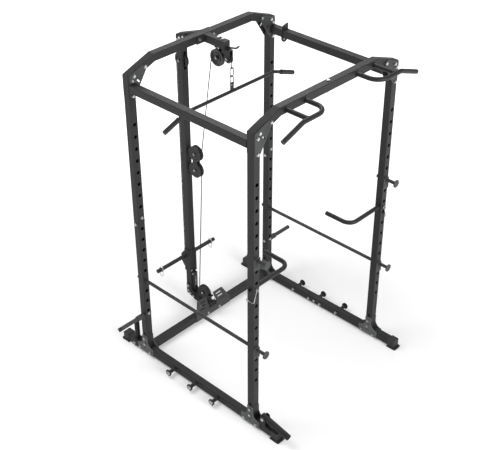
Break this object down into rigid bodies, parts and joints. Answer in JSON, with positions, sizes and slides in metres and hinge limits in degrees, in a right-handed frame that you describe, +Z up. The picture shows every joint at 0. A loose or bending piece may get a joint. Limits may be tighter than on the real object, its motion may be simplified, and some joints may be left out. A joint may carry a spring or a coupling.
{
  "type": "power cage",
  "caption": "Open strength-training cage of square tube with bent top beams, pull-up grips, dip bars, sliding safety bars and a rear cable tower with a plate-loaded carriage.",
  "frame": {"origin": "on the floor, midway between the four uprights", "axes": "+Z up, -Y to the front with the pull-up grips, +Y to the rear with the cable tower, +X to the right seen from the front"},
  "size_m": [1.6664, 1.5709, 2.1728],
  "materials": {
    "frame_paint": "fine-textured powder coat",
    "plate_paint": "lighter powder coat",
    "zinc": "bright zinc",
    "cap_rubber": "matt",
    "pulley_plastic": "moulded",
    "cable_coat": "smooth coated cable",
    "ball_plastic": "smooth"
  },
  "bodies": {
    "frame": {"arm_pulley_bracket": "frame_paint", "band_pegs": "frame_paint", "bar_end_caps": "cap_rubber", "bar_holder_tube": "frame_paint", "base_crossmember": "frame_paint", "base_joint_plates": "plate_paint", "base_rail_left": "frame_paint", "base_rail_right": "frame_paint", "carriage_stop": "cap_rubber", "dip_bars": "frame_paint", "floating_block_plates": "frame_paint", "foot_caps": "cap_rubber", "footplate": "frame_paint", "frame_bolts": "zinc", "frame_nuts": "zinc", "front_arm": "frame_paint", "hanger_plate": "frame_paint", "lat_cable": "cable_coat", "lat_cable_drop": "cable_coat", "lat_cable_lift": "cable_coat", "lat_tower_tube": "frame_paint", "low_cable": "cable_coat", "low_cable_ball": "ball_plastic", "low_pulley_bracket": "frame_paint", "plate_horns": "plate_paint", "pull_up_grips": "frame_paint", "top_beam_front": "frame_paint", "top_beam_rear": "frame_paint", "top_corner_plates": "plate_paint", "top_side_beams": "frame_paint", "tower_arms": "frame_paint", "tower_corner_plates": "plate_paint", "upright_front_left": "frame_paint", "upright_front_right": "frame_paint", "upright_rear_left": "frame_paint", "upright_rear_right": "frame_paint"},
    "carriage": {"weight_carriage": "frame_paint"},
    "collar_left": {"spring_collar_left": "zinc"},
    "collar_right": {"spring_collar_right": "zinc"},
    "lat_handle": {"lat_bar": "frame_paint", "lat_bar_grips": "cap_rubber", "lat_chain": "zinc"},
    "safety_left": {"safety_bar_left": "plate_paint"},
    "safety_right": {"safety_bar_right": "plate_paint"},
    "hook_left": {"j_hook_left": "plate_paint"},
    "hook_right": {"j_hook_right": "plate_paint"},
    "pin_left": {"lock_pin_left": "zinc"},
    "pin_right": {"lock_pin_right": "zinc"},
    "bail_left": {"pin_bail_left": "zinc"},
    "bail_right": {"pin_bail_right": "zinc"},
    "yoke": {"pivot_yoke": "frame_paint", "pivot_bolt": "zinc"},
    "pivot_sleeve": {"pivot_tube": "frame_paint"},
    "clip": {"carabiner": "zinc"},
    "tower_pulley": {"pulley_tower_top": "pulley_plastic"},
    "block_upper_pulley": {"pulley_float_upper": "pulley_plastic"},
    "block_lower_pulley": {"pulley_float_lower": "pulley_plastic"},
    "arm_rear_pulley": {"pulley_arm_rear": "pulley_plastic"},
    "arm_front_pulley": {"pulley_arm_front": "pulley_plastic"},
    "low_pulley": {"pulley_low": "pulley_plastic"}
  },
  "joints": [
    {"name": "carriage_lift", "type": "slide", "parent": "frame", "child": "carriage", "axis": [0, 0, 1], "range_m": [0, 1.2], "deforming": ["lat_cable_lift"]},
    {"name": "lat_pull", "type": "slide", "parent": "frame", "child": "lat_handle", "axis": [0, 0, -1], "range_m": [0, 1.2], "deforming": ["lat_cable_drop"]},
    {"name": "tower_pulley_turn", "type": "hinge", "parent": "frame", "child": "tower_pulley", "pos_m": [0, 0.69, 1.92], "axis": [1, 0, 0], "range_deg": [0, 1376.1]},
    {"name": "block_upper_turn", "type": "hinge", "parent": "frame", "child": "block_upper_pulley", "pos_m": [0, 0.59, 1.279], "axis": [1, 0, 0], "range_deg": [-1376.1, 0]},
    {"name": "arm_rear_turn", "type": "hinge", "parent": "frame", "child": "arm_rear_pulley", "pos_m": [0, 0.37, 2.034], "axis": [1, 0, 0], "range_deg": [0, 1376.1]},
    {"name": "arm_front_turn", "type": "hinge", "parent": "frame", "child": "arm_front_pulley", "pos_m": [0, 0.275, 2.057], "axis": [1, 0, 0], "range_deg": [0, 2751.2]},
    {"name": "block_lower_turn", "type": "hinge", "parent": "frame", "child": "block_lower_pulley", "pos_m": [0, 0.59, 1.157], "axis": [1, 0, 0], "continuous": true},
    {"name": "low_pulley_turn", "type": "hinge", "parent": "frame", "child": "low_pulley", "pos_m": [0, 0.552, 0.15], "axis": [1, 0, 0], "continuous": true},
    {"name": "collar_left_slide", "type": "slide", "parent": "carriage", "child": "collar_left", "axis": [1, 0, 0], "range_m": [0, 0.19]},
    {"name": "collar_right_slide", "type": "slide", "parent": "carriage", "child": "collar_right", "axis": [-1, 0, 0], "range_m": [0, 0.19]},
    {"name": "yoke_swivel", "type": "hinge", "parent": "frame", "child": "yoke", "pos_m": [-0.598, -0.596, 0.07], "axis": [0, 0, 1], "range_deg": [-60, 60]},
    {"name": "sleeve_pitch", "type": "hinge", "parent": "yoke", "child": "pivot_sleeve", "pos_m": [-0.598, -0.596, 0.114], "axis": [-1, 0, 0], "range_deg": [0, 95]},
    {"name": "clip_swing", "type": "hinge", "parent": "frame", "child": "clip", "pos_m": [0, 0.4475, 0.1393], "axis": [1, 0, 0], "range_deg": [-60, 15]},
    {"name": "safety_left_slide", "type": "slide", "parent": "frame", "child": "safety_left", "axis": [0, -1, 0], "range_m": [0, 1.15]},
    {"name": "hook_left_slide", "type": "slide", "parent": "frame", "child": "hook_left", "axis": [0, -1, 0], "range_m": [0, 0.15]},
    {"name": "pin_left_pull", "type": "slide", "parent": "frame", "child": "pin_left", "axis": [0, -1, 0], "range_m": [0, 0.08]},
    {"name": "bail_left_swing", "type": "hinge", "parent": "pin_left", "child": "bail_left", "pos_m": [-0.598, -0.522, 1.071], "axis": [0, 1, 0], "range_deg": [0, 120]},
    {"name": "safety_right_slide", "type": "slide", "parent": "frame", "child": "safety_right", "axis": [0, -1, 0], "range_m": [0, 1.15]},
    {"name": "hook_right_slide", "type": "slide", "parent": "frame", "child": "hook_right", "axis": [0, -1, 0], "range_m": [0, 0.15]},
    {"name": "pin_right_pull", "type": "slide", "parent": "frame", "child": "pin_right", "axis": [0, -1, 0], "range_m": [0, 0.08]},
    {"name": "bail_right_swing", "type": "hinge", "parent": "pin_right", "child": "bail_right", "pos_m": [0.598, -0.522, 1.071], "axis": [0, -1, 0], "range_deg": [0, 120]}
  ],
  "couplings": [
    {"joint": "lat_pull", "follows": "carriage_lift", "ratio": 1},
    {"joint": "tower_pulley_turn", "follows": "carriage_lift", "rad_per_m": 20},
    {"joint": "block_upper_turn", "follows": "carriage_lift", "rad_per_m": -20},
    {"joint": "arm_rear_turn", "follows": "carriage_lift", "rad_per_m": 20},
    {"joint": "arm_front_turn", "follows": "carriage_lift", "rad_per_m": 40}
  ]
}
